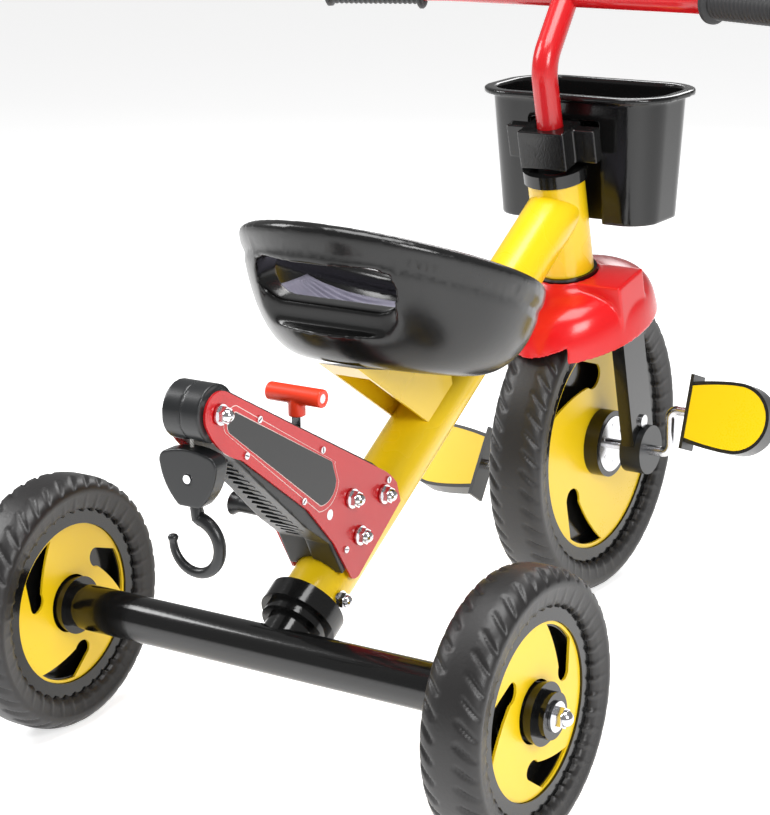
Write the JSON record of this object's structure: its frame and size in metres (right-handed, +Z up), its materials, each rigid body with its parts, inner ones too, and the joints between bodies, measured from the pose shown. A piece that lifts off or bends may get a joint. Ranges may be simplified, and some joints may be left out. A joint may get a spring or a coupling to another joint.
{
  "type": "children's tricycle",
  "caption": "Child's pedal tricycle with a raked yellow tube frame, bucket seat, front basket and a toy crane with winch and hook behind the seat.",
  "frame": {"origin": "on the floor under the middle of the length and width", "axes": "+Z up, +Y forward to the front wheel, +X to the rider's right"},
  "size_m": [0.5038, 0.7246, 0.5575],
  "materials": {
    "tyre_foam": "matt moulded foam rubber with tread grooves",
    "black_moulding": "glossy black injection moulding",
    "satin_moulding": "satin black moulding",
    "yellow_moulding": "glossy yellow moulding",
    "yellow_paint": "glossy yellow powder coat",
    "black_paint": "glossy black powder coat",
    "red_paint": "glossy red powder coat",
    "red_moulding": "glossy red moulding",
    "chrome_part": "bright chrome plate",
    "zinc_steel": "bright zinc plate",
    "soft_grip": "soft black grip",
    "blow_moulded_seat": "satin black blow moulding",
    "grey_pad": "ribbed grey insert",
    "lever_red": "bright red moulding",
    "pale_cord": "braided pale cord",
    "white_pin": "pale moulded pin"
  },
  "bodies": {
    "frame": {"main_tube": "yellow_paint", "head_tube": "yellow_paint", "seat_bracket": "yellow_paint", "crane_bracket": "yellow_paint", "rear_axle_beam": "black_paint", "frame_collar": "black_moulding", "rear_axle_rod": "zinc_steel", "axle_bushes": "black_moulding", "axle_nuts": "chrome_part", "head_bushing_upper": "black_moulding", "head_bushing_lower": "black_moulding", "seat_shell": "blow_moulded_seat", "seat_pad": "grey_pad", "seat_bolts": "zinc_steel", "crane_plate_right": "red_paint", "crane_plate_left": "red_paint", "boom_shell_right": "satin_moulding", "boom_shell_left": "satin_moulding", "crane_badges": "satin_moulding", "plate_screws": "zinc_steel", "dome_bolts": "chrome_part", "cord_run": "pale_cord"},
    "head_pulley": {"head_pulley": "satin_moulding"},
    "winch": {"winch_spool": "zinc_steel", "winch_crank": "satin_moulding"},
    "crank_knob": {"crank_knob": "satin_moulding"},
    "pawl_lever": {"lever_arm": "zinc_steel", "lever_handle": "lever_red", "lever_screw": "zinc_steel"},
    "cord_fall": {"cord_fall": "pale_cord"},
    "hook_block": {"hook_block": "satin_moulding", "block_pin": "white_pin"},
    "hook": {"hook": "satin_moulding"},
    "steering": {"fork_crown": "black_paint", "fork_leg_left": "black_paint", "fork_leg_right": "black_paint", "handlebar": "red_paint", "grip_left": "soft_grip", "grip_right": "soft_grip", "basket_bracket": "black_moulding", "basket": "black_moulding", "fender": "red_moulding", "crank_bearings": "satin_moulding", "steering_screws": "zinc_steel"},
    "front_wheel": {"front_tyre": "tyre_foam", "front_rim": "black_moulding", "front_discs": "yellow_moulding", "front_hub_cups": "black_moulding", "clutch_plates": "chrome_part", "crank_rod": "zinc_steel"},
    "pedal_left": {"pedal_frame_left": "satin_moulding", "pedal_treads_left": "yellow_moulding"},
    "pedal_right": {"pedal_frame_right": "satin_moulding", "pedal_treads_right": "yellow_moulding"},
    "rear_wheel_left": {"rear_left_tyre": "tyre_foam", "rear_left_rim": "black_moulding", "rear_left_discs": "yellow_moulding"},
    "rear_wheel_right": {"rear_right_tyre": "tyre_foam", "rear_right_rim": "black_moulding", "rear_right_discs": "yellow_moulding"}
  },
  "joints": [
    {"name": "steering_turn", "type": "hinge", "parent": "frame", "child": "steering", "pos_m": [0, 0.2253, 0.137], "axis": [0, -0.2181, 0.9759], "range_deg": [-40, 40]},
    {"name": "front_wheel_spin", "type": "hinge", "parent": "steering", "child": "front_wheel", "pos_m": [0, 0.2253, 0.137], "axis": [1, 0, 0], "continuous": true},
    {"name": "right_pedal_spin", "type": "hinge", "parent": "front_wheel", "child": "pedal_right", "pos_m": [0.14, 0.2253, 0.177], "axis": [1, 0, 0], "continuous": true},
    {"name": "left_pedal_spin", "type": "hinge", "parent": "front_wheel", "child": "pedal_left", "pos_m": [-0.14, 0.2253, 0.097], "axis": [1, 0, 0], "continuous": true},
    {"name": "right_wheel_spin", "type": "hinge", "parent": "frame", "child": "rear_wheel_right", "pos_m": [0.209, -0.2607, 0.1016], "axis": [1, 0, 0], "continuous": true},
    {"name": "left_wheel_spin", "type": "hinge", "parent": "frame", "child": "rear_wheel_left", "pos_m": [-0.209, -0.2607, 0.1016], "axis": [1, 0, 0], "continuous": true},
    {"name": "winch_turn", "type": "hinge", "parent": "frame", "child": "winch", "pos_m": [0, -0.22052, 0.20057], "axis": [1, 0, 0], "range_deg": [0, 1074]},
    {"name": "crank_knob_spin", "type": "hinge", "parent": "winch", "child": "crank_knob", "pos_m": [-0.06, -0.20581, 0.18936], "axis": [1, 0, 0], "continuous": true},
    {"name": "head_pulley_turn", "type": "hinge", "parent": "frame", "child": "head_pulley", "pos_m": [0, -0.34057, 0.30754], "axis": [1, 0, 0], "range_deg": [0, 1074]},
    {"name": "pawl_lever_tilt", "type": "hinge", "parent": "frame", "child": "pawl_lever", "pos_m": [0, -0.22237, 0.23784], "axis": [1, 0, 0], "range_deg": [0, 13], "stiffness_Nm_per_rad": 0.03, "springref_deg": -17.19},
    {"name": "hook_swing", "type": "hinge", "parent": "frame", "child": "cord_fall", "pos_m": [0, -0.34857, 0.28804], "axis": [1, 0, 0], "range_deg": [-25, 3]},
    {"name": "hook_lift", "type": "slide", "parent": "cord_fall", "child": "hook_block", "axis": [0, 0, -1], "range_m": [0, 0.15], "deforming": ["cord_fall"]},
    {"name": "hook_swivel", "type": "hinge", "parent": "hook_block", "child": "hook", "pos_m": [0, -0.34857, 0.23194], "axis": [0, 0, 1], "continuous": true}
  ],
  "couplings": [
    {"joint": "head_pulley_turn", "follows": "winch_turn", "ratio": 1},
    {"joint": "hook_lift", "follows": "winch_turn", "m_per_rad": 0.008}
  ]
}
